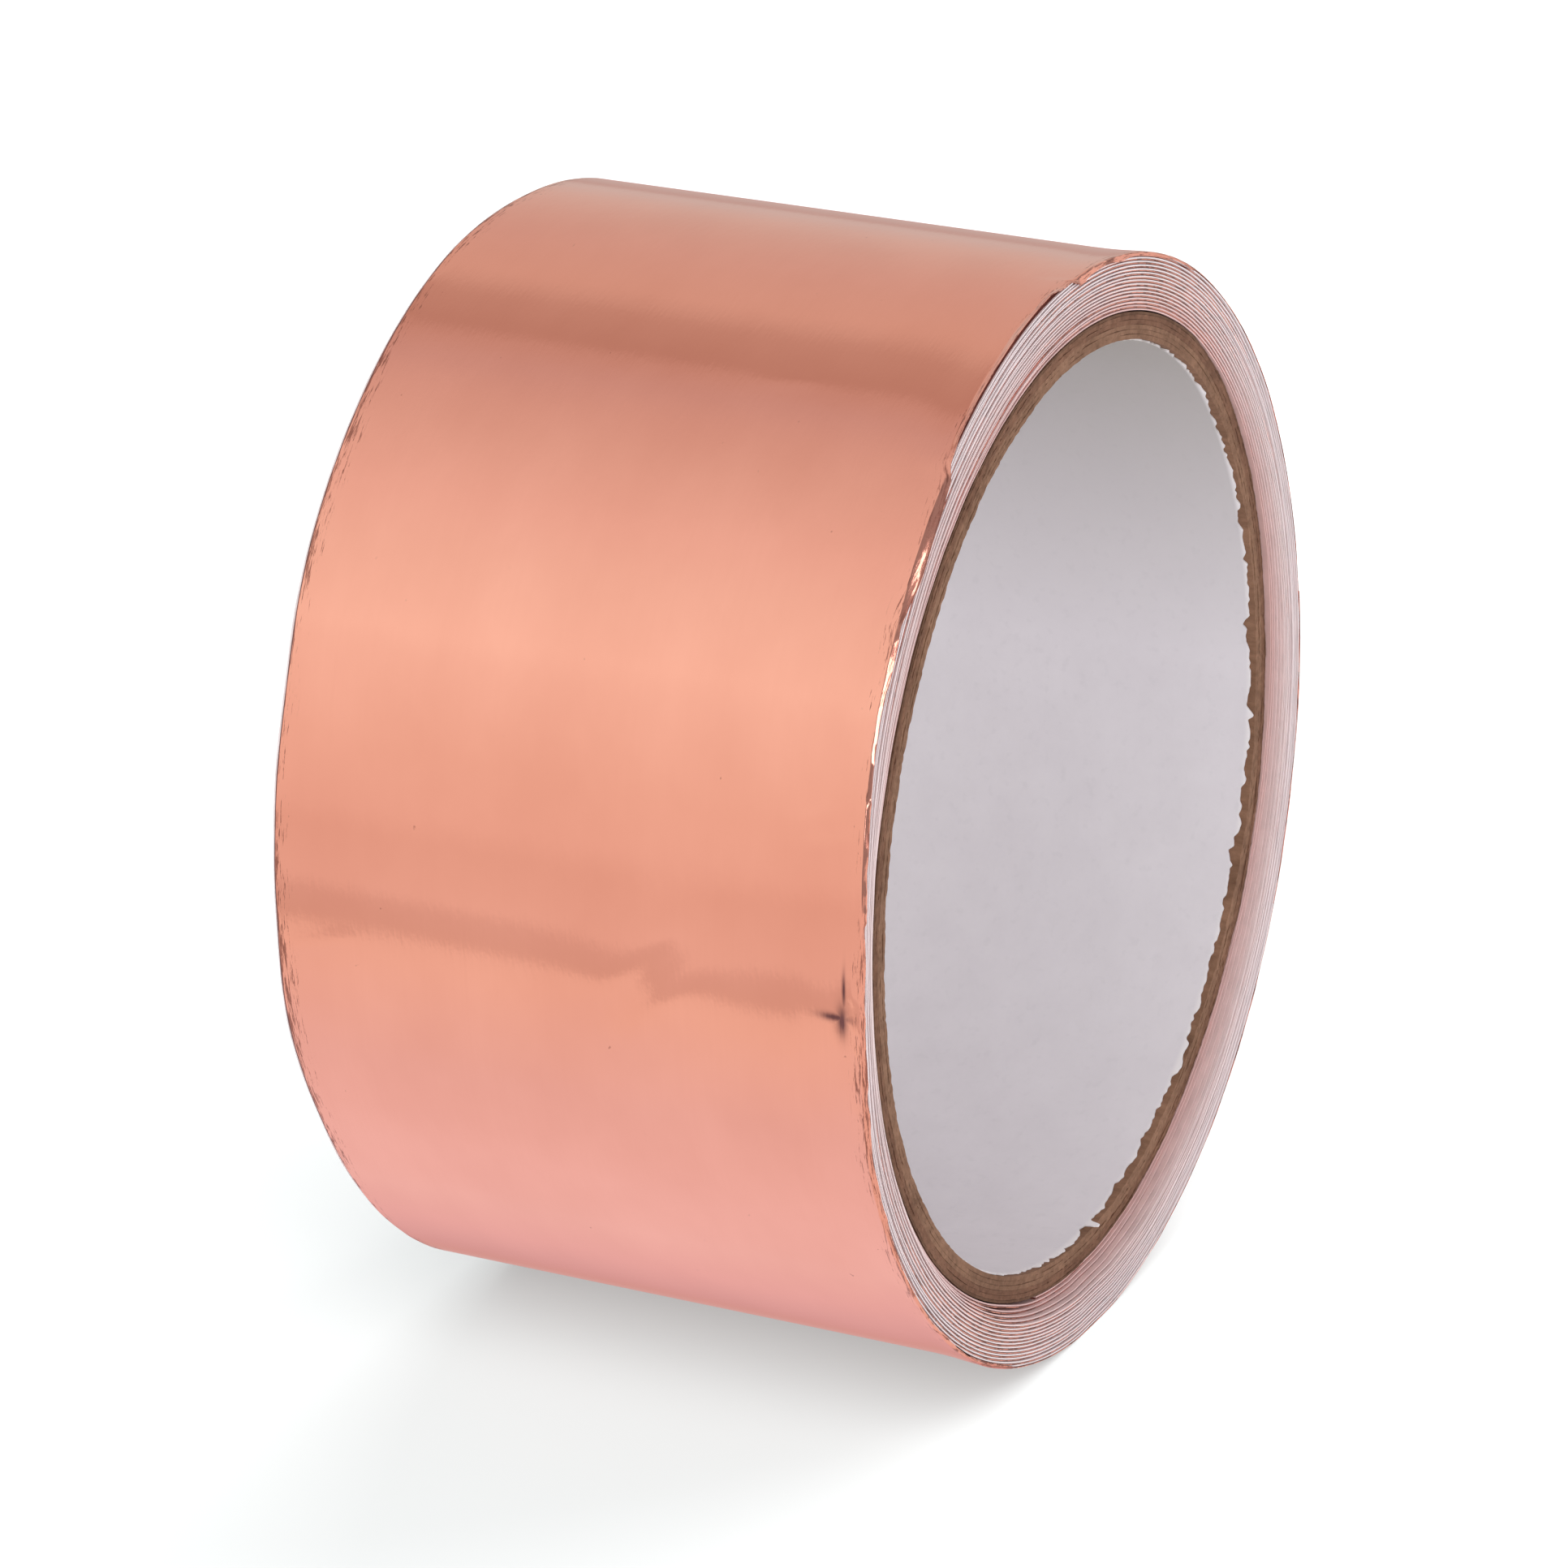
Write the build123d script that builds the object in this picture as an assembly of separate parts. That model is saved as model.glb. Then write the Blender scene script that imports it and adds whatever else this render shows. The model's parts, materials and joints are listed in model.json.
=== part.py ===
"""Roll of adhesive-backed copper foil tape, wound on a spiral paper core.

Frame: millimetres, +Z up, the axis of the roll along Y. The origin is the centre of the bore,
halfway along the core, so the roll stands on its rim. Angles are measured in the XZ plane from
+X towards +Z, which is anticlockwise for someone looking along +Y.

The tape is one strip of three layers. From the core outwards they are the release liner, the
adhesive and the copper foil. The strip is wound as a two-centre spiral: every half turn from its
start is an arc, and the arcs' centres lie a quarter of the winding pitch to either side of the
origin, on the line through the strip's start. Layers and wraps are then parallel everywhere. At
the foot of the roll every arc is cut short by a chord, because the wraps have a little play and
settle onto a narrow flat where the roll stands.
"""

from build123d import *

import math
import os

# core: a standard 3 inch tube, as long as the tape is wide
bore_radius = 76.2 / 2
core_length = 50.0
bore_liner_thickness = 0.14
kraft_ply_thickness = 0.38
kraft_ply_count = 5
outer_ply_thickness = 0.22
glue_line = 0.02

# each ply is a strip of board wound on a steep helix, with a narrow gap where its edges meet
seam_gap = 0.35
seam_twist = 125.0
first_seam_angle = 15.0
seam_step = 137.5

# tape
tape_width = 50.0
tape_centre_y = -1.1
liner_thickness = 0.12
adhesive_thickness = 0.04
foil_thickness = 0.07
winding_pitch = 0.28
core_clearance = 0.02

# where the strip starts on the core, and where its free end lies
start_angle = -103.0
full_turns = 16
tail_base_angle = -24.0
flap_base_angle = -14.0
tip_angle = 5.0
slit = 0.03

# the flat that the roll stands on
foot_angle = -90.0
foot_half_width = 4.0

layer_gap = (winding_pitch - liner_thickness - adhesive_thickness - foil_thickness) / 3
centre_offset = winding_pitch / 4

# distance from the inner face of the strip to the inner face of each layer
liner_offset = 0.0
adhesive_offset = liner_thickness + layer_gap
foil_offset = adhesive_offset + adhesive_thickness + layer_gap


def tube(inner_radius, thickness):
    """A plain tube on the axis of the roll, as long as the core."""
    face = Plane.XZ.offset(-core_length / 2)
    with BuildPart() as part:
        with BuildSketch(face):
            Circle(inner_radius + thickness)
            Circle(inner_radius, mode=Mode.SUBTRACT)
        extrude(amount=core_length)
    return part.part


def seam(inner_radius, thickness, angle):
    """The helical gap between the two edges of one ply, as a solid to cut away."""
    overshoot = 1.0
    blade = Rectangle(thickness + 2 * overshoot, seam_gap)
    blade = Pos(inner_radius + thickness / 2, 0) * blade
    blade = Rot(0, 0, angle) * blade
    length = core_length + 2 * overshoot
    twist = seam_twist * length / core_length
    ribbon = Solid.extrude_linear_with_rotation(blade.face(), (0, 0, 0), (0, 0, length), twist)
    return Plane.XZ.offset(-length / 2) * ribbon


def ply(inner_radius, thickness, number):
    """One ply of the core. Each ply's seam is turned away from the seam of the ply under it."""
    angle = first_seam_angle + number * seam_step
    return tube(inner_radius, thickness) - seam(inner_radius, thickness, angle)


def core_plies():
    """The plies of the core by name, from the bore outwards, and the core's outer radius."""
    layers = [("core_bore_liner", bore_liner_thickness)]
    for number in range(1, kraft_ply_count + 1):
        layers.append((f"core_ply_{number}", kraft_ply_thickness))
    layers.append(("core_outer_ply", outer_ply_thickness))

    plies = {}
    radius = bore_radius
    for number, (name, thickness) in enumerate(layers):
        plies[name] = ply(radius, thickness, number)
        radius += thickness + glue_line
    return plies, radius - glue_line


def half_turns(angle):
    """Whole half turns from the strip's start to an angle that may be many turns along."""
    return math.floor((angle - start_angle) / 180)


def arc_centre(angle):
    """Centre, in X and Z, of the spiral's arc at an angle."""
    side = -1 if half_turns(angle) % 2 == 0 else 1
    turn = math.radians(start_angle)
    return side * centre_offset * math.cos(turn), side * centre_offset * math.sin(turn)


def arc_radius(angle, offset, core_radius):
    """Radius of the spiral's arc at an angle, for a surface that lies offset outside the strip's
    inner face."""
    at_foot = (core_radius + core_clearance) / math.cos(math.radians(foot_half_width))
    return at_foot + centre_offset + offset + half_turns(angle) * winding_pitch / 2


def breaks(from_angle, to_angle):
    """The angles that divide a length of the strip: the ends of its half turns and of its flats."""
    angles = {from_angle, to_angle}
    for turn in range(-1, full_turns + 2):
        foot = foot_angle + 360 * turn
        half_turn = start_angle + 360 * turn
        angles.update((foot - foot_half_width, foot + foot_half_width, half_turn, half_turn + 180))
    return sorted(angle for angle in angles if from_angle <= angle <= to_angle)


def spiral_edges(from_angle, to_angle, offset, core_radius):
    """The edges of one surface of the strip: an arc for each stretch, and a line for each flat."""
    edges = []
    angles = breaks(from_angle, to_angle)
    for first, last in zip(angles, angles[1:]):
        middle = (first + last) / 2
        arc = (arc_centre(middle), arc_radius(middle, offset, core_radius), first, last - first)
        if abs((middle - foot_angle + 180) % 360 - 180) < foot_half_width:
            cut_short = CenterArc(*arc, mode=Mode.PRIVATE)
            edges.append(Line(cut_short @ 0, cut_short @ 1))
        else:
            edges.append(CenterArc(*arc))
    return edges


def strip(from_angle, to_angle, offset, thickness, core_radius):
    """A length of one layer of the wound strip, across the tape's whole width."""
    face = Plane.XZ.offset(-tape_centre_y - tape_width / 2)
    with BuildPart() as part:
        with BuildSketch(face):
            with BuildLine():
                inner_edges = spiral_edges(from_angle, to_angle, offset, core_radius)
                outer_edges = spiral_edges(from_angle, to_angle, offset + thickness, core_radius)
                Line(inner_edges[0] @ 0, outer_edges[0] @ 0)
                Line(inner_edges[-1] @ 1, outer_edges[-1] @ 1)
            make_face()
        extrude(amount=tape_width)
    return part.part


def tape_layers(core_radius):
    """The wound tape and its free end by name. The free end is the last part of the strip: the
    tail lifts off the roll, and beyond the flap's base the foil peels off the liner."""
    slit_angle = math.degrees(slit / core_radius)
    end_of_roll = 360 * full_turns + tail_base_angle
    start_of_tail = end_of_roll + slit_angle
    end_of_tail = 360 * full_turns + flap_base_angle
    start_of_flap = end_of_tail + slit_angle
    tip = 360 * full_turns + tip_angle

    spans = {
        "release_liner_roll": (start_angle, end_of_roll, liner_offset, liner_thickness),
        "adhesive_roll": (start_angle, end_of_roll, adhesive_offset, adhesive_thickness),
        "foil_roll": (start_angle, end_of_roll, foil_offset, foil_thickness),
        "release_liner_tail": (start_of_tail, tip, liner_offset, liner_thickness),
        "adhesive_tail": (start_of_tail, end_of_tail, adhesive_offset, adhesive_thickness),
        "foil_tail": (start_of_tail, end_of_tail, foil_offset, foil_thickness),
        "adhesive_flap": (start_of_flap, tip, adhesive_offset, adhesive_thickness),
        "foil_flap": (start_of_flap, tip, foil_offset, foil_thickness),
    }
    return {name: strip(*span, core_radius) for name, span in spans.items()}


def hinge_point(base_angle, core_radius):
    """Where a fold line at an angle crosses the outer face of the foil, in X and Z."""
    angle = 360 * full_turns + base_angle
    radius = arc_radius(angle, foil_offset + foil_thickness, core_radius)
    x, z = arc_centre(angle)
    turn = math.radians(angle)
    return x + radius * math.cos(turn), z + radius * math.sin(turn)


def main():
    pieces, core_radius = core_plies()
    pieces.update(tape_layers(core_radius))

    os.makedirs("parts", exist_ok=True)
    for name, solid in pieces.items():
        solid.label = name
        export_step(solid, f"parts/{name}.step")

    print(f"core outer radius {core_radius:.3f}")
    for name, angle in (("tail_lift", tail_base_angle), ("foil_peel", flap_base_angle)):
        x, z = hinge_point(angle, core_radius)
        print(f"{name} hinge at x {x:.4f}, z {z:.4f}")


main()
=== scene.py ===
"""Looks of the copper foil tape roll: foil, adhesive, release liner, paper core, studio."""

import json
import math

import bpy
import numpy as np
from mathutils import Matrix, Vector


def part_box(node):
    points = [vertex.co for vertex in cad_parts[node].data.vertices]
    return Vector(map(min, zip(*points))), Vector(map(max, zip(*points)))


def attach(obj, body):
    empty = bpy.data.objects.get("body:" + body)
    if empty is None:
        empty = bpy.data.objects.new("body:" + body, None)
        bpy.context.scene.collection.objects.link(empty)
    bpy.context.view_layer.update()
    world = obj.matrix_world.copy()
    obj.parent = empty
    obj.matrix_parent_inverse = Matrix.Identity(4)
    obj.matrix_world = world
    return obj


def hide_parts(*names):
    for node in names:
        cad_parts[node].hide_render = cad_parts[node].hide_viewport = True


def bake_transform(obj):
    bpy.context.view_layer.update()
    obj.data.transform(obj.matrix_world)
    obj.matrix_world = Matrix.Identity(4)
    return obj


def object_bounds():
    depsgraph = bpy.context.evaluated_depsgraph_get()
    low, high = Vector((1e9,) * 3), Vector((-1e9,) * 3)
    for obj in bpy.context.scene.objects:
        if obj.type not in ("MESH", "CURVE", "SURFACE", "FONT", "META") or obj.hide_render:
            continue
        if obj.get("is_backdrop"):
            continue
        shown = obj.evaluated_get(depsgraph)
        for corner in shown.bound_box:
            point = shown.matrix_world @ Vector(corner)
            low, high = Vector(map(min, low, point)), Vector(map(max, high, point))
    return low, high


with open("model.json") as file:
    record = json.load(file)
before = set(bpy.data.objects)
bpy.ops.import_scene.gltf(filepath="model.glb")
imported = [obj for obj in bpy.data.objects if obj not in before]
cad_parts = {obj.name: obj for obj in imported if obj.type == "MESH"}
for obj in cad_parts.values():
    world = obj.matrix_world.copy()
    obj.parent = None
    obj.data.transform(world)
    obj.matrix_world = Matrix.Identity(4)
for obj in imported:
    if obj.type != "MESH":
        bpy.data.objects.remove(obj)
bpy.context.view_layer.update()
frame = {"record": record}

MM = 0.001

# ---------------------------------------------------------------- sizes, in millimetres
bore_radius = frame["record"]["mounts"][0]["dims"]["r_mm"]
core_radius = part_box("core_outer_ply")[1].x / MM
core_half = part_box("core_outer_ply")[1].y / MM
tape_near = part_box("foil_roll")[0].y / MM
tape_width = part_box("foil_roll")[1].y / MM - tape_near

liner_thickness = 0.12
adhesive_thickness = 0.04
foil_thickness = 0.07
winding_pitch = 0.28
core_clearance = 0.02
layer_gap = (winding_pitch - liner_thickness - adhesive_thickness - foil_thickness) / 3
adhesive_offset = liner_thickness + layer_gap
foil_offset = adhesive_offset + adhesive_thickness + layer_gap

# half the angle of the flat that the wraps lie on at the foot, in degrees
foot_half_angle = 4.0
# the furthest that any near edge stands out past the core's true end
furthest_out = 2.58

# winding angles, in degrees from +X towards +Z, counted on over the turns
start_angle = -103.0
full_turns = 16
tail_base = 360 * full_turns - 24.0
flap_base = 360 * full_turns - 14.0
tip_angle = 360 * full_turns + 5.0
outer_wrap_start = 360 * (full_turns - 1) - 30.0

# the core: thicknesses of its plies and of the glue between them
kraft_ply_count = 5
bore_liner_thickness = 0.14
kraft_ply_thickness = 0.38
outer_ply_thickness = 0.22
glue_line = 0.02


# ---------------------------------------------------------------- smooth noise
def smoothstep(x):
    x = np.clip(x, 0.0, 1.0)
    return x * x * (3 - 2 * x)


def window(x, first, last, soft):
    """0 outside first and last, and 1 from soft inside them."""
    return smoothstep((x - first) / soft) * smoothstep((last - x) / soft)


def stretches(theta, table):
    """A sum of windows round the roll. Each row of the table is how much, the first and last
    degree, and over how many degrees it comes and goes."""
    return sum(amount * window(theta, first, last, soft) for amount, first, last, soft in table)


def bumps(x, y, seed):
    """Smooth noise from about -1 to 1 over unit cells, repeating every 64 cells."""
    table = np.random.default_rng(seed).uniform(-1, 1, (64, 64))
    cell_x = np.floor(x).astype(int)
    cell_y = np.floor(y).astype(int)
    part_x = smoothstep(x - cell_x)
    part_y = smoothstep(y - cell_y)

    def row(cell):
        here = table[cell_x % 64, cell % 64]
        beyond = table[(cell_x + 1) % 64, cell % 64]
        return here * (1 - part_x) + beyond * part_x

    return row(cell_y) * (1 - part_y) + row(cell_y + 1) * part_y


def ring_bumps(angle, cells, seed):
    """Smooth noise round a closed ring, with a whole number of cells in the turn."""
    table = np.random.default_rng(seed).uniform(-1, 1, cells)
    place = np.mod(angle / 360, 1.0) * cells
    cell = np.floor(place).astype(int)
    part = smoothstep(place - cell)
    return table[cell % cells] * (1 - part) + table[(cell + 1) % cells] * part


# ---------------------------------------------------------------- meshes
def new_mesh(name, points, quads, place, material):
    """A mesh object from points in millimetres. place is stored for the materials to read."""
    mesh = bpy.data.meshes.new(name)
    mesh.vertices.add(len(points))
    mesh.vertices.foreach_set("co", (points * MM).astype(np.float32).ravel())
    mesh.loops.add(quads.size)
    mesh.loops.foreach_set("vertex_index", quads.astype(np.int32).ravel())
    mesh.polygons.add(len(quads))
    mesh.polygons.foreach_set("loop_start", np.arange(0, quads.size, 4, dtype=np.int32))
    mesh.update(calc_edges=True)
    mesh.polygons.foreach_set("use_smooth", np.ones(len(quads), bool))
    attribute = mesh.attributes.new("place", "FLOAT_VECTOR", "POINT")
    attribute.data.foreach_set("vector", place.astype(np.float32).ravel())
    mesh.set_sharp_from_angle(angle=math.radians(50))
    mesh.validate()
    piece = bpy.data.objects.new(name, mesh)
    bpy.context.scene.collection.objects.link(piece)
    mesh.materials.append(material)
    return piece


def grid_quads(rows, columns, first, flip):
    """Quads of a grid whose points run along its columns first."""
    row, column = np.meshgrid(np.arange(rows - 1), np.arange(columns - 1), indexing="ij")
    a = first + row * columns + column
    corners = [a, a + columns, a + columns + 1, a + 1]
    if flip:
        corners.reverse()
    return np.stack(corners, -1).reshape(-1, 4)


def strip_piece(name, angles, across, surface, thickness, material):
    """A closed thin strip wound round the Y axis. surface(angle, across) gives the radius of its
    inner face and its y for a grid of places; across is the distance from the near edge."""
    angle, reach = np.meshgrid(angles, across, indexing="ij")
    radius, y = surface(angle, reach)
    turn = np.radians(angle)
    rows, columns = angle.shape
    count = rows * columns
    inner = np.stack([radius * np.cos(turn), y, radius * np.sin(turn)], -1).reshape(-1, 3)
    outward = np.stack([np.cos(turn), np.zeros_like(turn), np.sin(turn)], -1).reshape(-1, 3)
    outer = inner + outward * thickness
    along = turn * core_radius
    place = np.stack([along, reach, np.ones_like(along)], -1).reshape(-1, 3)
    inner_place = place * (1, 1, 0)
    faces = [grid_quads(rows, columns, 0, False), grid_quads(rows, columns, count, True)]
    for column, flip in ((0, False), (columns - 1, True)):
        a = np.arange(rows - 1) * columns + column
        side = np.stack([a, a + count, a + count + columns, a + columns], -1)
        faces.append(side[:, ::-1] if flip else side)
    for row, flip in ((0, True), (rows - 1, False)):
        a = row * columns + np.arange(columns - 1)
        end = np.stack([a, a + count, a + count + 1, a + 1], -1)
        faces.append(end[:, ::-1] if flip else end)
    points = np.concatenate([inner, outer])
    places = np.concatenate([inner_place, place])
    return new_mesh(name, points, np.concatenate(faces), places, material)


# how far the core's near end stands out past its true length: nothing at the top, twice this at
# the bottom, and less along some stretches. The lean begins some way from the core's middle.
CORE_LEAN = 0.55
CORE_BACK = [(-0.35, -25, 60, 30)]
CORE_LEAN_FROM = 5


def core_lean(angles):
    """How far the core's near end stands out past its true length."""
    wrapped = np.mod(angles + 180, 360) - 180
    return CORE_LEAN - CORE_LEAN * np.sin(np.radians(angles)) + stretches(wrapped, CORE_BACK)


def ring_piece(name, profile, segments, material):
    """A closed ring round the Y axis, with the core's lean. profile(angles) gives the section's
    points as radius and y, one row for each angle, going round the section."""
    angles = np.arange(segments) * 360 / segments
    radius, y = profile(angles)
    turn = np.radians(angles)[:, None]
    towards_near = smoothstep((-y - CORE_LEAN_FROM) / (core_half - CORE_LEAN_FROM))
    leaning_y = y - core_lean(angles)[:, None] * towards_near
    points = np.stack([radius * np.cos(turn), leaning_y, radius * np.sin(turn)], -1)
    points = points.reshape(-1, 3)
    place = np.stack([turn * radius, y, np.zeros_like(y)], -1).reshape(-1, 3)
    columns = radius.shape[1]
    row, column = np.meshgrid(np.arange(segments), np.arange(columns), indexing="ij")
    next_row = (row + 1) % segments
    next_column = (column + 1) % columns
    corners = [row * columns + column, next_row * columns + column,
               next_row * columns + next_column, row * columns + next_column]
    quads = np.stack(corners, -1).reshape(-1, 4)
    return new_mesh(name, points, quads, place, material)


# ---------------------------------------------------------------- the winding
def wrap_level(angle):
    """How many pitches out the strip lies. Each wrap is round until it nears the strip's start,
    where it climbs over the wrap under it, more gently on every wrap."""
    turns = (angle - start_angle) / 360
    wrap = np.floor(turns)
    climb = np.clip(0.03 + 0.035 * wrap, 0.03, 0.6)
    return wrap + smoothstep((turns - wrap - 1 + climb) / climb)


# how far the wraps' near edges stand out past the core's end: on average, less that at the top
# and more that at the bottom, and more towards +X
LEAN = 1.2
LEAN_UP = 1.3
LEAN_SIDE = 0.15
# the innermost wrap has only this share of the lean, and the wraps after some turns have all of it
INNER_SHARE = 0.45
LEAN_TURNS = 6
# where the outer wraps stand out further, and where the last wrap does
OUTER_WRAPS_OUT = [(0.75, 150, 205, 24)]
LAST_WRAP_OUT = [(0.30, 193, 250, 20)]
# where the far edges reach further: all wraps, and the outer wraps
FAR_EDGE_OUT = [(0.42, 85, 162, 20)]
OUTER_FAR_EDGE_OUT = [(0.75, 152, 207, 20)]


def step_out(angle):
    """How far the tape's near edge stands out past the core's end. The wraps crept along the core
    at the bottom of the roll, the inner ones less, and the last wraps crept further."""
    turns = (angle - start_angle) / 360
    theta = np.mod(angle, 360)
    turn = np.radians(angle)
    lean = LEAN - LEAN_UP * np.sin(turn) + LEAN_SIDE * np.cos(turn)
    lean = lean + stretches(theta, OUTER_WRAPS_OUT) * smoothstep(turns / full_turns)
    lean = lean * (INNER_SHARE + (1 - INNER_SHARE) * smoothstep(turns / LEAN_TURNS))
    jitter = 0.075 * bumps(turns * 2.3, turns * 0, 11)
    jitter = jitter + 0.015 * bumps(turns * 9.1, turns * 0, 12)
    last_wrap = smoothstep((turns - full_turns + 1.0) / 0.85)
    out = lean + jitter + stretches(theta, LAST_WRAP_OUT) * last_wrap
    return np.minimum(out, furthest_out + 0.25 * jitter)


def edge_flare(angle, reach):
    """The tape's near edge turns up a little, more on the outer wraps."""
    flare_height, flare_reach = 0.28, 2.6
    growth = np.clip(wrap_level(angle) / full_turns, 0, 1) ** 1.5
    return flare_height * growth * np.exp(-(reach / flare_reach) ** 2)


def slack(angle, reach):
    """Play and slow unevenness of the wound layers, the same for layers that lie on each other.
    The play closes at the foot of the roll, where the wraps lie flat."""
    theta = np.mod(angle, 360)
    from_foot = np.clip(np.abs(theta - 270) / foot_half_angle, 0, 1)
    play = core_radius * (1 / math.cos(math.radians(foot_half_angle)) - 1) * from_foot ** 2
    return play + 0.018 * ring_bumps(theta + reach * 0.3, 23, 21)


def winding(offset, inset, seed, far_inset=0.0):
    """The surface function of one layer. inset pulls both of the layer's edges back from the
    liner's, and far_inset the far one only."""
    edge_zone = 4.0

    def surface(angle, reach):
        radius = core_radius + core_clearance + offset + winding_pitch * wrap_level(angle)
        radius = radius + edge_flare(angle, reach) + slack(angle, reach)
        turns = (angle - start_angle) / 360
        theta = np.mod(angle, 360)
        ragged = 0.025 * bumps(turns * 31, turns * 0, seed)
        ragged = ragged + 0.02 * bumps(turns * 120, turns * 0, seed + 1)
        far_push = stretches(theta, FAR_EDGE_OUT)
        far_push = far_push + stretches(theta, OUTER_FAR_EDGE_OUT) * smoothstep(turns / 4)
        at_near = 1 - smoothstep(reach / edge_zone)
        at_far = smoothstep((reach - tape_width + edge_zone) / edge_zone)
        near_pull = (inset + ragged) * at_near
        far_pull = (inset + far_inset + ragged - far_push) * at_far
        y = -core_half - step_out(angle) + reach + near_pull - far_pull
        return radius, y
    return surface


def crease(angle, reach, centre, place, heading, length, width, height):
    """A straight fold in the outer foil, tapering out at both ends. heading is in degrees from
    the tape's length towards its far edge."""
    along = np.radians(angle - centre) * (core_radius + winding_pitch * full_turns)
    across = reach - place
    c, s = math.cos(math.radians(heading)), math.sin(math.radians(heading))
    u = along * c + across * s
    v = -along * s + across * c
    return height * np.exp(-(v / width) ** 2) * np.exp(-(u / length) ** 4)


# where the foil's near edge is crumpled, and how much
CRUMPLED = [(0.10, 172, 196, 5), (0.035, 134, 248, 6)]
# where the foil's near edge is turned over: steadily, unevenly and most unevenly, in degrees
TURNED = [(72, 60, 93, 1.5), (-36, 94, 125, 4), (44, 124, 143, 4)]
UNEVENLY_TURNED = (139, 173, 5)
CRUSHED = (170, 249, 2)
# where the turned part is wider or narrower than usual
LIP_WIDER = [(0.45, 125, 143, 6), (0.25, 94, 125, 4), (-0.18, 54, 82, 5), (0.16, 89, 93, 1),
             (0.12, 172, 249, 3), (-0.26, 203, 252, 8)]


def foil_skin(angle, reach):
    """Dents, folds and crumpled edges of the outermost foil, outwards in millimetres."""
    theta = np.mod(angle, 360)
    last_turn = angle - 360 * (full_turns - 1)
    along = np.radians(angle) * (core_radius + winding_pitch * full_turns)
    out = 0.010 * bumps(along / 14, reach / 17, 31) + 0.003 * bumps(along / 5, reach / 8, 32)
    for fold in FOLDS:
        out = out + crease(last_turn, reach, *fold)
    damage = 0.012 + stretches(theta, CRUMPLED)
    uneven = 0.3 + 0.7 * np.abs(bumps(along / 6, reach * 0, 34))
    crumple = bumps(along / 0.9, reach / 0.5, 33) * uneven
    out = out + damage * np.exp(-reach / 0.9) * crumple
    out = out + 0.02 * np.exp(-(tape_width - reach) / 0.7) * bumps(along / 2.1, reach / 0.8, 35)
    return np.maximum(out, -0.6 * layer_gap)


def lip(angle):
    """The foil's near edge is turned over the side of the roll along some stretches. Gives how
    steeply it is turned, in degrees, and how wide the turned part is."""
    theta = np.mod(angle, 360)
    along = np.radians(angle) * (core_radius + winding_pitch * full_turns)
    coarse = bumps(along / 4.0, along * 0, 41)
    fine = bumps(along / 0.9, along * 0, 42)
    tilt = 4 + 3 * coarse + stretches(theta, TURNED)
    tilt = tilt + (36 + 16 * fine) * window(theta, *UNEVENLY_TURNED)
    tilt = tilt + (60 + 12 * fine + 8 * coarse) * window(theta, *CRUSHED)
    width = 0.40 + 0.10 * coarse + stretches(theta, LIP_WIDER)
    return tilt, width


# folds across the outer foil: centre in degrees, distance from the near edge, heading in degrees
# from the tape's length towards its far edge, half length, width, height
FOLDS = [
    (181.2, 18.0, 43.0, 6.5, 4.2, 0.17),
    (181.2, 18.0, 43.0, 5.6, 1.5, -0.17),
    (181.2, 18.0, 43.0, 5.2, 0.45, 0.040),
    (187.0, 9.2, 90.0, 9.0, 6.0, 0.05),
    (180.6, 2.2, 90.0, 2.5, 3.0, 0.08),
    (180.6, 1.8, 8.0, 1.6, 0.5, -0.09),
    (186.0, 1.6, 0.0, 17.0, 0.16, 0.012),
    (117.0, 16.0, 80.0, 2.6, 0.8, 0.020),
    (164.0, 3.0, 75.0, 2.2, 0.6, 0.04),
    (162.0, 4.8, 62.0, 1.8, 0.5, 0.03),
    (183.5, 46.5, 70.0, 3.0, 0.7, 0.035),
]


def outer_foil(angle, reach):
    """The surface of the foil's last wrap and free end."""
    radius, y = winding(foil_offset, 0.0, 71, far_inset=0.30)(angle, reach)
    tilt, width = lip(angle)
    over = np.clip(width - reach, 0, None)
    shift = (width + 0.04) * smoothstep(tilt / 35) * (1 - smoothstep(reach / 5))
    radius = radius + foil_skin(angle, reach) - over * np.sin(np.radians(tilt))
    y = y - shift + over * (1 - np.cos(np.radians(tilt)))
    return radius, np.maximum(y, -core_half - furthest_out)


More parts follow.
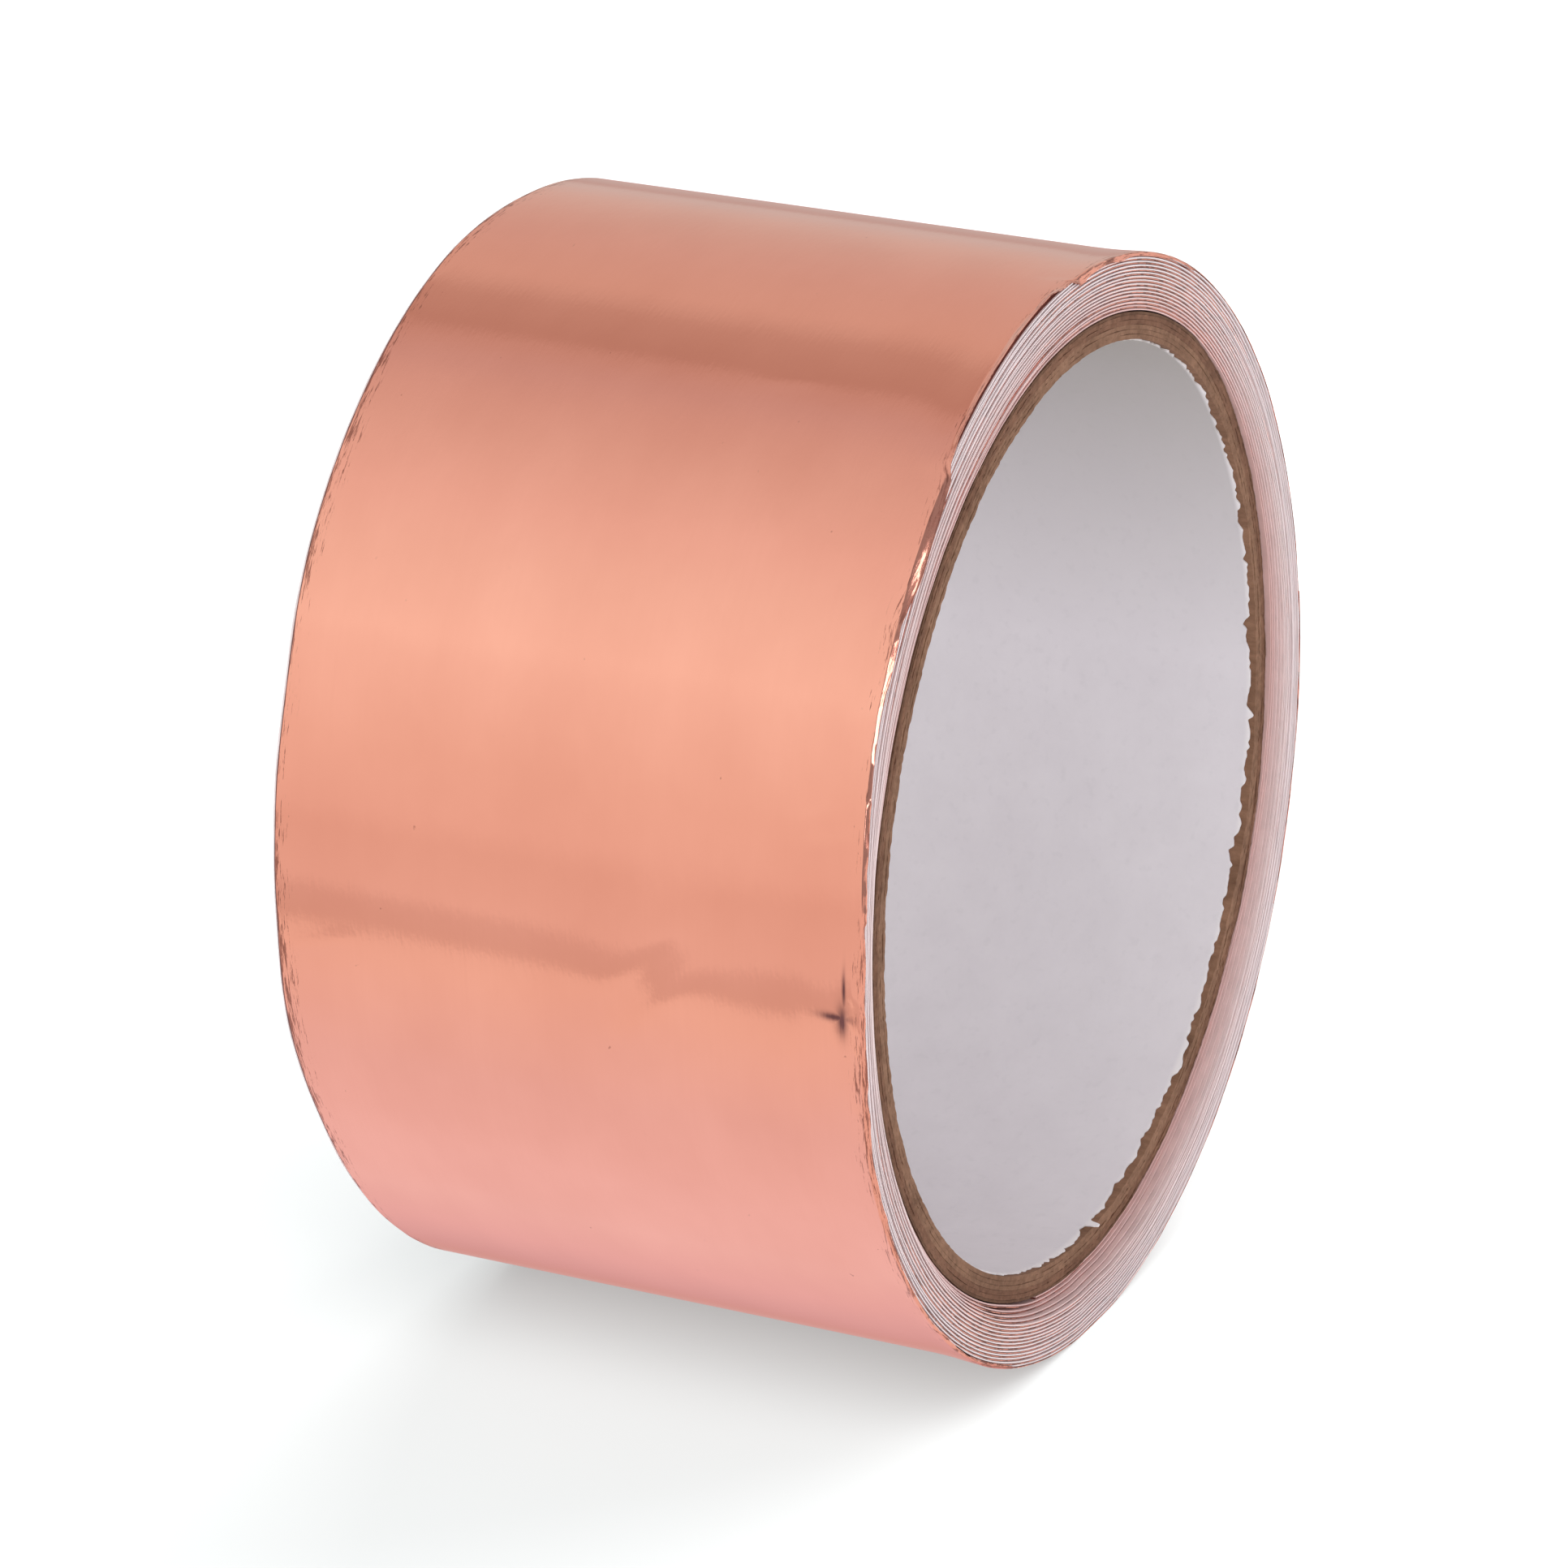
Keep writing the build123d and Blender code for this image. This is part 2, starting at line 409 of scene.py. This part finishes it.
# ---------------------------------------------------------------- materials
class Nodes:
    """Short helpers for the node tree of a material or a world."""

    def __init__(self, owner, shader):
        owner.use_nodes = True
        self.owner = owner
        self.tree = owner.node_tree
        self.shader = self.tree.nodes[shader]

    def link(self, source, target):
        self.tree.links.new(source, target)

    def value(self, target, given):
        if isinstance(given, bpy.types.NodeSocket):
            self.link(given, target)
        else:
            target.default_value = given

    def place(self, scale):
        """The piece's own place: millimetres along it, millimetres across it, and on the tape 1
        for the outer face and 0 for the inner one."""
        attribute = self.tree.nodes.new("ShaderNodeAttribute")
        attribute.attribute_name = "place"
        mapping = self.tree.nodes.new("ShaderNodeMapping")
        mapping.inputs["Scale"].default_value = scale
        self.link(attribute.outputs["Vector"], mapping.inputs["Vector"])
        return mapping.outputs["Vector"]

    def object_place(self, scale):
        coordinates = self.tree.nodes.new("ShaderNodeTexCoord")
        mapping = self.tree.nodes.new("ShaderNodeMapping")
        mapping.inputs["Scale"].default_value = scale
        self.link(coordinates.outputs["Object"], mapping.inputs["Vector"])
        return mapping.outputs["Vector"]

    def noise(self, vector, scale, detail=2.0, roughness=0.5, distortion=0.0):
        node = self.tree.nodes.new("ShaderNodeTexNoise")
        node.inputs["Scale"].default_value = scale
        node.inputs["Detail"].default_value = detail
        node.inputs["Roughness"].default_value = roughness
        node.inputs["Distortion"].default_value = distortion
        self.link(vector, node.inputs["Vector"])
        return node.outputs["Fac"]

    def ramp(self, fac, stops):
        node = self.tree.nodes.new("ShaderNodeValToRGB")
        points = node.color_ramp.elements
        while len(points) < len(stops):
            points.new(0.5)
        for point, (position, colour) in zip(points, stops):
            if not isinstance(colour, tuple):
                colour = (colour, colour, colour)
            point.position = position
            point.color = (*colour, 1.0)
        self.link(fac, node.inputs["Fac"])
        return node.outputs["Color"]

    def math(self, operation, first, second=0.0, third=0.0):
        node = self.tree.nodes.new("ShaderNodeMath")
        node.operation = operation
        for socket, given in zip(node.inputs, (first, second, third)):
            self.value(socket, given)
        return node.outputs["Value"]

    def mix(self, fac, first, second, blend="MIX"):
        node = self.tree.nodes.new("ShaderNodeMix")
        node.data_type = "RGBA"
        node.blend_type = blend
        self.value(node.inputs["Factor"], fac)
        self.value(node.inputs[6], first)
        self.value(node.inputs[7], second)
        return node.outputs[2]

    def away(self, value, centre, size):
        """How far a value is from a centre, squared, in units of size."""
        distance = self.math("ABSOLUTE", self.math("SUBTRACT", value, centre))
        return self.math("POWER", self.math("DIVIDE", distance, size), 2.0)

    def fade(self, value, first, last):
        """0 at first and 1 at last, smoothly."""
        node = self.tree.nodes.new("ShaderNodeMapRange")
        node.interpolation_type = "SMOOTHSTEP"
        node.inputs["From Min"].default_value = first
        node.inputs["From Max"].default_value = last
        self.link(value, node.inputs["Value"])
        return node.outputs["Result"]

    def split(self, vector):
        node = self.tree.nodes.new("ShaderNodeSeparateXYZ")
        self.link(vector, node.inputs["Vector"])
        return node.outputs

    def bump(self, height, strength, distance, normal=None):
        node = self.tree.nodes.new("ShaderNodeBump")
        node.inputs["Strength"].default_value = strength
        node.inputs["Distance"].default_value = distance
        self.link(height, node.inputs["Height"])
        if normal is not None:
            self.link(normal, node.inputs["Normal"])
        return node.outputs["Normal"]


def new_material(name):
    return Nodes(bpy.data.materials.new(name), "Principled BSDF")


# blobs of the dark smudge on the outer foil, partly painted shade in its dent: angle, distance
# from the near edge, half its length and half its width
SMUDGE_AND_DENT_SHADE = [(178.0, 1.70, 1.4, 0.15), (181.2, 1.85, 1.25, 0.42), (180.9, 2.4, 0.32, 1.3)]
COPPER_DARK = (0.78, 0.33, 0.24, 1)
# the dark dashes along the edges: partly scuffs, partly painted shade
SCUFF_AND_SHADE_COLOUR = (0.19, 0.06, 0.045, 1)
# the smudge's colour, partly painted shade in the dent
SMUDGE_AND_SHADE_COLOUR = (0.10, 0.04, 0.055, 1)
SPECK_COLOUR = (0.30, 0.12, 0.09, 1)


def scuffs_and_edge_shade(n, across, marks):
    """How scuffed the foil is: short dark dashes along each edge, partly scuffs and partly painted
    shade in the crumpled edge's creases.
    """
    to_edge = n.math("MINIMUM", across, n.math("SUBTRACT", tape_width, across))
    near = n.math("SUBTRACT", 1.0, n.math("MINIMUM", n.math("DIVIDE", to_edge, 1.6), 1.0))
    scuff_and_edge_shade = n.ramp(n.math("MULTIPLY_ADD", near, 0.16, marks), [(0.83, 0.0), (0.88, 1.0)])
    return n.math("MULTIPLY", scuff_and_edge_shade, n.math("MINIMUM", n.math("MULTIPLY", near, 4.0), 1.0))


def smudge_and_dent_shade(n, along, across, marks):
    """How dark the smudge is where the outer foil's edge was knocked, partly painted shade in its
    dent.
    """
    smudge_and_shade = 0.0
    for turned, across_at, half_length, half_width in SMUDGE_AND_DENT_SHADE:
        centre = math.radians(360 * (full_turns - 1) + turned) * core_radius
        spread = n.math("ADD", n.away(along, centre, half_length),
                        n.away(across, across_at, half_width))
        blob = n.math("EXPONENT", n.math("MULTIPLY", spread, -1.2))
        smudge_and_shade = n.math("MAXIMUM", smudge_and_shade, blob)
    patchy = n.math("MULTIPLY_ADD", marks, 0.9, 0.35)
    return n.math("MINIMUM", n.math("MULTIPLY", smudge_and_shade, patchy), 0.9)


def specks(n):
    """Tiny dark specks all over."""
    spots = n.noise(n.place((1.1, 1.5, 0)), 1.0, 2.0, 0.5)
    return n.ramp(spots, [(0.76, 0.0), (0.80, 1.0)])


def copper(name):
    """Rolled copper foil: satin, with fine grain along the strip and dark dashes along its edges
    that are partly scuffs and partly painted shade.
    """
    n = new_material(name)
    along, across, _ = n.split(n.place((1, 1, 1)))
    grain = n.noise(n.place((0.03, 6.0, 0)), 1.0, 3.0, 0.6)
    mottle = n.noise(n.place((0.08, 0.10, 0)), 1.0, 3.0, 0.55)
    marks = n.noise(n.place((0.45, 5.5, 0)), 1.0, 4.0, 0.75)
    worn = n.noise(n.place((0.05, 0.0, 0)), 1.0, 2.0, 0.6)
    marks = n.math("MULTIPLY_ADD", worn, 0.35, marks)
    scuff_and_edge_shade = scuffs_and_edge_shade(n, across, marks)

    colour = n.ramp(mottle, [(0.3, (0.80, 0.350, 0.265)), (0.7, (0.85, 0.385, 0.295))])
    colour = n.mix(n.math("MULTIPLY", grain, 0.25), colour, COPPER_DARK)
    # painted shade mixed with real scuffs: dark dashes along both edges
    colour = n.mix(n.math("MULTIPLY", scuff_and_edge_shade, 0.75), colour, SCUFF_AND_SHADE_COLOUR)
    # painted shade in the dent at the knocked edge, mixed with a dark smudge
    colour = n.mix(smudge_and_dent_shade(n, along, across, marks), colour, SMUDGE_AND_SHADE_COLOUR)
    colour = n.mix(n.math("MULTIPLY", specks(n), 0.55), colour, SPECK_COLOUR)
    n.link(colour, n.shader.inputs["Base Color"])
    n.shader.inputs["Metallic"].default_value = 1.0
    rough = n.math("MULTIPLY_ADD", grain, 0.05, 0.06)
    rough = n.math("MULTIPLY_ADD", scuff_and_edge_shade, 0.25, rough)
    n.link(rough, n.shader.inputs["Roughness"])
    bumpy = n.bump(n.noise(n.place((0.7, 2.8, 0)), 1.0, 2.0, 0.6), 0.5, 0.00002)
    bumpy = n.bump(n.noise(n.place((2.5, 2.8, 0)), 1.0, 3.0, 0.6), 0.25, 0.00001, bumpy)
    n.link(bumpy, n.shader.inputs["Normal"])
    return n.owner


def release_paper():
    """White siliconed paper. Its cut edge carries a painted pink reflection of the copper foil,
    pinker and darker in the inner wraps.
    """
    n = new_material("release_paper")
    fibres = n.noise(n.place((0.25, 0.5, 1)), 1.0, 4.0, 0.6)
    whole = 2 * math.pi * core_radius * full_turns
    wrap = n.math("DIVIDE", n.split(n.place((1, 1, 1)))[0], whole)
    wrap = n.math("MULTIPLY_ADD", n.noise(n.place((0.015, 0, 0)), 1.0, 2.0), 0.25, wrap)
    # painted reflection: the copper's colour is painted onto the liner, pinker and darker towards
    # the inner wraps
    copper_reflection_tint = n.ramp(wrap, [(0.10, (0.76, 0.47, 0.45)), (0.45, (0.87, 0.69, 0.69)),
                         (0.9, (0.90, 0.78, 0.80))])
    shade = n.ramp(fibres, [(0.30, 0.80), (0.65, 1.0)])
    n.link(n.mix(1.0, copper_reflection_tint, shade, "MULTIPLY"), n.shader.inputs["Base Color"])
    n.shader.inputs["Roughness"].default_value = 0.55
    surface = n.noise(n.place((3, 3, 1)), 1.0, 3.0)
    n.link(n.bump(surface, 0.15, 0.00003), n.shader.inputs["Normal"])
    return n.owner


def adhesive():
    """Thin tacky film: clear, so it takes the copper's colour, and darkened at its edges by
    painted shade, where it lies in the gaps between the wraps."""
    n = new_material("acrylic_adhesive")
    gap_shade_noise = n.noise(n.place((0.4, 1.0, 0)), 1.0, 4.0, 0.65)
    # painted shade: the film's colour is dark near its edges, standing in for shade in the gaps
    # between the wraps
    colour = n.ramp(gap_shade_noise, [(0.35, (0.11, 0.03, 0.028)), (0.6, (0.24, 0.085, 0.07)),
                           (0.8, (0.42, 0.22, 0.19))])
    _, across, _ = n.split(n.place((1, 1, 1)))
    to_edge = n.math("MINIMUM", across, n.math("SUBTRACT", tape_width, across))
    inside = n.ramp(to_edge, [(0.10, 0.0), (0.45, 0.8)])
    colour = n.mix(inside, colour, (0.56, 0.27, 0.20, 1))
    n.link(colour, n.shader.inputs["Base Color"])
    n.link(n.math("MULTIPLY_ADD", gap_shade_noise, 0.3, 0.3), n.shader.inputs["Roughness"])
    return n.owner


def board(name, dark, light):
    """Kraft board: fibrous, mottled, matt."""
    n = new_material(name)
    fibres = n.noise(n.object_place((1400, 500, 1400)), 1.0, 5.0, 0.7)
    patches = n.noise(n.object_place((160, 160, 160)), 1.0, 3.0, 0.6)
    colour = n.ramp(n.math("MULTIPLY_ADD", patches, 0.4, n.math("MULTIPLY", fibres, 0.6)),
                    [(0.32, dark), (0.68, light)])
    n.link(colour, n.shader.inputs["Base Color"])
    n.shader.inputs["Roughness"].default_value = 0.9
    n.shader.inputs["Specular IOR Level"].default_value = 0.2
    n.link(n.bump(fibres, 0.5, 0.00008), n.shader.inputs["Normal"])
    return n.owner


def bore_paper():
    """Pale grey facing paper, darkened towards the top by painted shade, with specks and a paler
    fringe at each end."""
    n = new_material("bore_paper")
    cloud = n.noise(n.object_place((170, 170, 170)), 1.0, 5.0, 0.7)
    speckle = n.noise(n.object_place((1100, 1100, 1100)), 1.0, 2.0, 0.5)
    colour = n.ramp(cloud, [(0.3, (0.72, 0.675, 0.72)), (0.7, (0.765, 0.72, 0.765))])
    colour = n.mix(n.ramp(speckle, [(0.25, 0.12), (0.42, 0.0)]), colour, (0.52, 0.49, 0.53, 1))
    _, _, height = n.split(n.object_place((1, 1, 1)))
    _, end, _ = n.split(n.place((1, 1, 1)))
    upwards = n.math("DIVIDE", height, bore_radius * MM)
    # painted shade: the paper is darker towards the top of the bore, where less light reaches
    top_shade = n.ramp(n.math("MULTIPLY_ADD", cloud, 0.12, upwards), [(0.05, 0.0), (0.95, 0.90)])
    colour = n.mix(top_shade, colour, (0.33, 0.30, 0.28, 1))
    fringe = n.ramp(n.math("DIVIDE", n.math("ABSOLUTE", end), core_half),
                    [(0.966, 0.0), (0.982, 0.8)])
    colour = n.mix(fringe, colour, (0.86, 0.81, 0.83, 1))
    n.link(colour, n.shader.inputs["Base Color"])
    n.shader.inputs["Roughness"].default_value = 0.85
    n.link(n.bump(speckle, 0.2, 0.00004), n.shader.inputs["Normal"])
    return n.owner


FOIL = copper("copper_foil")
LINER = release_paper()
ADHESIVE = adhesive()
KRAFT = board("kraft_board", (0.14, 0.070, 0.042), (0.325, 0.176, 0.112))
OUTER_KRAFT = board("outer_kraft", (0.11, 0.050, 0.030), (0.27, 0.135, 0.085))
DARK_KRAFT = board("dark_kraft", (0.09, 0.042, 0.025), (0.20, 0.105, 0.065))
BORE_PAPER = bore_paper()


# ---------------------------------------------------------------- tape
def steps(first, last, step):
    return np.linspace(first, last, max(2, int(round((last - first) / step)) + 1))


# distances of the rows of points from the near edge, closer together where there is more to see
HIDDEN_ROWS = np.array([0, 0.3, 0.8, 1.6, 3.2, 6, 15, 35, 44, 46.8, 48.4, 49.2, 49.7, 50])
SKIN_ROWS = np.concatenate([
    np.linspace(0, 1.2, 13), np.linspace(1.5, 6, 11), np.linspace(7, 13, 6),
    np.linspace(14, 22.5, 18), np.linspace(24, 43, 10), np.linspace(44, 49, 10),
    np.linspace(49.2, 50, 7)])
HIDDEN_ROWS = HIDDEN_ROWS * tape_width / 50
SKIN_ROWS = SKIN_ROWS * tape_width / 50
# degrees between columns of points
WOUND_STEP = 1.8
SKIN_STEP = 0.6

foil_winding = winding(foil_offset, 0.10, 61)
liner_winding = winding(0.0, 0.0, 51)
adhesive_winding = winding(adhesive_offset, 0.15, 55)


def tape_piece(name, node, body, first, last, step, rows, surface, thickness, material):
    piece = strip_piece(name, steps(first, last, step), rows, surface, thickness, material)
    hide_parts(node)
    if body:
        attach(piece, body)
    return piece


tape_piece("liner_wraps", "release_liner_roll", "roll", start_angle, tail_base,
           WOUND_STEP, HIDDEN_ROWS, liner_winding, liner_thickness, LINER)
tape_piece("adhesive_wraps", "adhesive_roll", "roll", start_angle, tail_base,
           WOUND_STEP, HIDDEN_ROWS, adhesive_winding, adhesive_thickness, ADHESIVE)
tape_piece("foil_inner_wraps", "foil_roll", "roll", start_angle, outer_wrap_start,
           WOUND_STEP, HIDDEN_ROWS, foil_winding, foil_thickness, FOIL)
tape_piece("foil_outer_wrap", "foil_roll", "roll", outer_wrap_start, tail_base,
           SKIN_STEP, SKIN_ROWS, outer_foil, foil_thickness, FOIL)


# points at the free end's two hinges, between the bodies
def fold_point(angle):
    radius = core_radius + winding_pitch * (full_turns + 1)
    turn = math.radians(angle)
    return (radius * math.cos(turn) * MM, 0.0, radius * math.sin(turn) * MM)


TAIL_BEND = (fold_point(tail_base), fold_point(flap_base - 0.5))
FLAP_BEND = (fold_point(flap_base), fold_point(flap_base + 8.0))
# the free end's pieces: name, node, slot, first and last angle, surface, thickness, material, bend
FREE_END = [
    ("liner_tail", "release_liner_tail", "release_paper", tail_base, tip_angle,
     liner_winding, liner_thickness, LINER, ("roll", "tail", *TAIL_BEND)),
    ("adhesive_tail", "adhesive_tail", "acrylic_adhesive", tail_base, flap_base,
     adhesive_winding, adhesive_thickness, ADHESIVE, ("roll", "tail", *TAIL_BEND)),
    ("foil_tail", "foil_tail", "copper_foil", tail_base, flap_base,
     outer_foil, foil_thickness, FOIL, ("roll", "tail", *TAIL_BEND)),
    ("adhesive_flap", "adhesive_flap", "acrylic_adhesive", flap_base, tip_angle,
     adhesive_winding, adhesive_thickness, ADHESIVE, ("tail", "flap", *FLAP_BEND)),
    ("foil_flap", "foil_flap", "copper_foil", flap_base, tip_angle,
     outer_foil, foil_thickness, FOIL, ("tail", "flap", *FLAP_BEND)),
]
for name, node, slot, first, last, surface, thickness, material, bend in FREE_END:
    piece = tape_piece(f"{name}_skin", node, None, first, last, SKIN_STEP, SKIN_ROWS,
                       surface, thickness, material)
    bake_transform(piece)


# ---------------------------------------------------------------- core
def end_rows(edge):
    """Distances from the middle of the core to one end, closer together towards the end."""
    return edge - np.array([0, 0.15, 0.4, 0.9, 2.0, 4.5, 9.0, 16.0, 23.0])


def ply_profile(inner, outer, near_end, far_end, roughness, seed):
    """The section of one ply: along the bore side to the far end, over it and back."""
    def profile(angles):
        near = near_end(angles)[:, None]
        far = far_end(angles)[:, None]
        ends = end_rows(core_half)[None, :]
        along_bore = np.concatenate([-ends + near, ends[:, ::-1] + far], 1)
        faces = np.ones((len(angles), 1)) * np.linspace(inner, outer, 4)[None, 1:-1]
        far_face = (core_half + far) * np.ones_like(faces)
        near_face = (-core_half + near) * np.ones_like(faces)
        y = np.concatenate([along_bore, far_face, along_bore[:, ::-1], near_face], 1)
        radius = np.concatenate([np.full_like(along_bore, inner), faces,
                                 np.full_like(along_bore, outer), faces[:, ::-1]], 1)
        frayed = roughness * bumps(angles[:, None] * 2.2, radius * 7.0, seed)
        at_end = (np.abs(y) > core_half - 0.1).astype(float)
        y = y + frayed * at_end
        return radius, y
    return profile


def flush(seed, size):
    return lambda angles: size * ring_bumps(angles, 90, seed)


def torn(seed, tears=()):
    """The facing paper tore where the core was cut, so it stops short of the end, raggedly. tears
    are an angle, a width in degrees and how much further back the paper is there."""
    def edge(angles):
        short = 0.50 + 0.18 * ring_bumps(angles, 31, seed)
        short = short + 0.14 * ring_bumps(angles, 137, seed + 1)
        frayed = 0.15 * ring_bumps(angles, 331, seed + 2)
        frayed = frayed + 0.13 * ring_bumps(angles, 613, seed + 3)
        tufts = 1.6 * np.clip(ring_bumps(angles, 97, seed + 4) - 0.75, 0, 1)
        back = np.clip(short + frayed - tufts, 0.03, 1.2)
        for place, width, depth in tears:
            away = np.mod(angles - place + 180, 360) - 180
            back = back + depth * np.exp(-(away / width) ** 4)
        return np.maximum(back, -0.4)
    return edge


NEAR_TEARS = [
    (3.5, 2.2, 0.35),
    (-5.5, 1.3, 0.25),
    (-26.0, 1.0, 0.4),
    (-85.9, 0.5, -0.9),
    (-87.3, 1.0, 0.3),
]


def core_piece(name, node, inner, outer, near_end, far_end, roughness, seed, material,
               segments=720):
    profile = ply_profile(inner, outer, near_end, far_end, roughness, seed)
    piece = ring_piece(name, profile, segments, material)
    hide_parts(node)
    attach(piece, "roll")
    return piece


radius = bore_radius
core_piece("bore_facing", "core_bore_liner", radius, radius + bore_liner_thickness,
           torn(101, NEAR_TEARS), lambda a: -torn(105)(a), 0.02, 109, BORE_PAPER, 2400)
radius += bore_liner_thickness + glue_line
for number in range(1, kraft_ply_count + 1):
    core_piece(f"kraft_ply_{number}", f"core_ply_{number}",
               radius, radius + kraft_ply_thickness,
               flush(110 + number, 0.05), flush(120 + number, 0.05), 0.05, 130 + number,
               KRAFT if number < 4 else OUTER_KRAFT)
    radius += kraft_ply_thickness + glue_line
core_piece("dark_outer_ply", "core_outer_ply", radius, radius + outer_ply_thickness,
           flush(116, 0.05), flush(126, 0.05), 0.05, 136, DARK_KRAFT)


# ---------------------------------------------------------------- studio
FLOOR_SIZE = 5.0
FLOOR_GAP = 0.00002
FLOOR_GLOW = 0.37


def floor():
    """A pale lit tabletop. Glossy surfaces see the sky's lower half in its place."""
    low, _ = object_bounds()
    bpy.ops.mesh.primitive_plane_add(size=FLOOR_SIZE, location=(0, 0, low.z - FLOOR_GAP))
    ground = bpy.context.object
    ground.name = "studio_floor"
    n = new_material("floor_paper")
    tone = n.noise(n.object_place((30, 30, 30)), 1.0, 2.0)
    colour = n.ramp(tone, [(0.0, (0.112, 0.147, 0.152)), (1.0, (0.118, 0.153, 0.158))])
    n.link(colour, n.shader.inputs["Base Color"])
    n.shader.inputs["Roughness"].default_value = 0.8
    n.shader.inputs["Specular IOR Level"].default_value = 0.1
    n.shader.inputs["Emission Color"].default_value = (1, 1, 1, 1)
    n.shader.inputs["Emission Strength"].default_value = FLOOR_GLOW
    ground.data.materials.append(n.owner)
    ground.visible_glossy = False
    ground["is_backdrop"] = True
    return ground


# the light from in front of the near end: where it starts and is full, as the share of the
# direction that points along -Y, and its colour below and above the horizon
FRONT_FROM = 0.10
FRONT_FULL = 0.50
FRONT_BELOW = (1.0, 0.92, 0.86, 1.0)
FRONT_ABOVE = (0.40, 0.40, 0.41, 1.0)
FRONT_HORIZON = (-0.06, 0.02)
# the light round the roll's axis: angle from +X towards +Z, colour
SKY = [
    (0, (0.667, 0.610, 0.567)),
    (4.2, (0.70, 0.68, 0.644)),
    (12.2, (0.753, 0.715, 0.662)),
    (36.2, (0.786, 0.730, 0.685)),
    (53.2, (0.794, 0.735, 0.670)),
    (57.2, (0.74, 0.68, 0.62)),
    (61.2, (0.65, 0.57, 0.515)),
    (71.7, (0.60, 0.505, 0.455)),
    (74.7, (0.69, 0.61, 0.57)),
    (81.2, (0.73, 0.68, 0.67)),
    (89.2, (0.81, 0.77, 0.74)),
    (98.2, (0.88, 0.86, 0.82)),
    (114.2, (1.02, 1.02, 0.98)),
    (127.2, (1.08, 1.12, 1.06)),
    (143.2, (1.16, 1.22, 1.15)),
    (148.2, (1.12, 1.15, 1.08)),
    (168.2, (1.04, 1.01, 0.93)),
    (181.2, (1.01, 0.96, 0.89)),
    (186.2, (0.95, 0.88, 0.81)),
    (198.2, (0.98, 0.93, 0.87)),
    (201.2, (0.86, 0.79, 0.74)),
    (207.2, (0.84, 0.77, 0.71)),
    (208.8, (1.02, 0.98, 0.90)),
    (214.2, (1.04, 1.01, 0.94)),
    (238.2, (1.00, 1.00, 1.05)),
    (263.2, (1.05, 1.06, 1.15)),
    (279.2, (1.04, 1.01, 1.08)),
    (295.2, (0.947, 0.773, 0.816)),
    (311.2, (0.775, 0.50, 0.50)),
    (318.2, (0.72, 0.41, 0.38)),
    (341.2, (0.66, 0.38, 0.35)),
    (351.2, (0.597, 0.480, 0.440)),
]


def sky():
    """Soft studio light whose brightness goes by the direction's angle round the roll's axis, and
    a large bright softbox in front of the roll's near end."""
    world = bpy.data.worlds.new("studio")
    bpy.context.scene.world = world
    n = Nodes(world, "Background")
    coordinates = n.tree.nodes.new("ShaderNodeTexCoord")
    x, y, z = n.split(coordinates.outputs["Generated"])
    turn = n.math("DIVIDE", n.math("ARCTAN2", z, x), 2 * math.pi)
    share = n.math("FRACT", n.math("ADD", turn, 1.0))
    around = n.ramp(share, [(angle / 360, colour) for angle, colour in SKY])
    front = n.mix(n.fade(z, *FRONT_HORIZON), FRONT_BELOW, FRONT_ABOVE)
    colour = n.mix(n.fade(y, -FRONT_FROM, -FRONT_FULL), around, front)
    n.link(colour, n.shader.inputs["Color"])


WHITE = (1.0, 1.0, 1.0)
WARM = (1.0, 0.775, 0.750)
# lamps: name, place, aim, size, watts, colour, whether it lights the tabletop or everything else,
# and whether reflections show it
LAMPS = [
    ("overhead", (0.1, 0.1, 1.2), (0, 0, 0), (1.4, 1.4), 2.5, WHITE, False, False),
    ("front", (-0.35, -0.83, 0.40), (0, -0.025, 0), (0.75, 0.40), 2.9, WHITE, False, True),
    ("table_left", (-0.85, -0.25, 0.62), (0, 0, 0), (1.8, 1.0), 112.0, WARM, True, False),
    ("table_right", (0.85, -0.25, 0.62), (0, 0, 0), (1.8, 1.0), 104.0, WARM, True, False),
]


def lamp(ground, name, place, aim, size, power, colour, lights_ground, glossy):
    """A soft rectangular lamp for either the floor or everything else, seen in reflections only
    when glossy."""
    data = bpy.data.lights.new(name, "AREA")
    data.shape = "RECTANGLE"
    data.size, data.size_y = size
    data.energy = power
    data.color = colour
    light = bpy.data.objects.new(name, data)
    bpy.context.scene.collection.objects.link(light)
    light.location = place
    light.rotation_euler = (Vector(aim) - Vector(place)).to_track_quat("-Z", "Y").to_euler()
    light.visible_glossy = glossy
    lit = bpy.data.collections.new(name)
    lit.objects.link(ground)
    lit.collection_objects[0].light_linking.link_state = "INCLUDE" if lights_ground else "EXCLUDE"
    light.light_linking.receiver_collection = lit


# the camera: degrees to the left of the line that faces the near end and degrees above level,
# metres, and where it aims in its own right and up directions
CAMERA_AZIMUTH = -64.64
CAMERA_ELEVATION = 21.35
CAMERA_DISTANCE = 0.5882
CAMERA_AIM = (-0.00107, -0.00198)
CAMERA_LENS = 164.0
CAMERA_SENSOR = 36.0


def camera():
    azimuth, elevation = math.radians(CAMERA_AZIMUTH), math.radians(CAMERA_ELEVATION)
    level = math.cos(elevation)
    back = Vector((math.sin(azimuth) * level, -math.cos(azimuth) * level, math.sin(elevation)))
    right = Vector((math.cos(azimuth), math.sin(azimuth), 0))
    up = right.cross(-back)
    aim = right * CAMERA_AIM[0] + up * CAMERA_AIM[1]
    data = bpy.data.cameras.new("camera")
    data.sensor_width = CAMERA_SENSOR
    data.lens = CAMERA_LENS
    data.clip_end = 20
    view = bpy.data.objects.new("camera", data)
    bpy.context.scene.collection.objects.link(view)
    view.location = back * CAMERA_DISTANCE
    view.rotation_mode = "QUATERNION"
    view.rotation_quaternion = (aim - view.location).to_track_quat("-Z", "Y")
    bpy.context.scene.camera = view


bpy.context.scene.view_settings.view_transform = "Standard"
camera()
sky()
tabletop = floor()
for row in LAMPS:
    lamp(tabletop, *row)
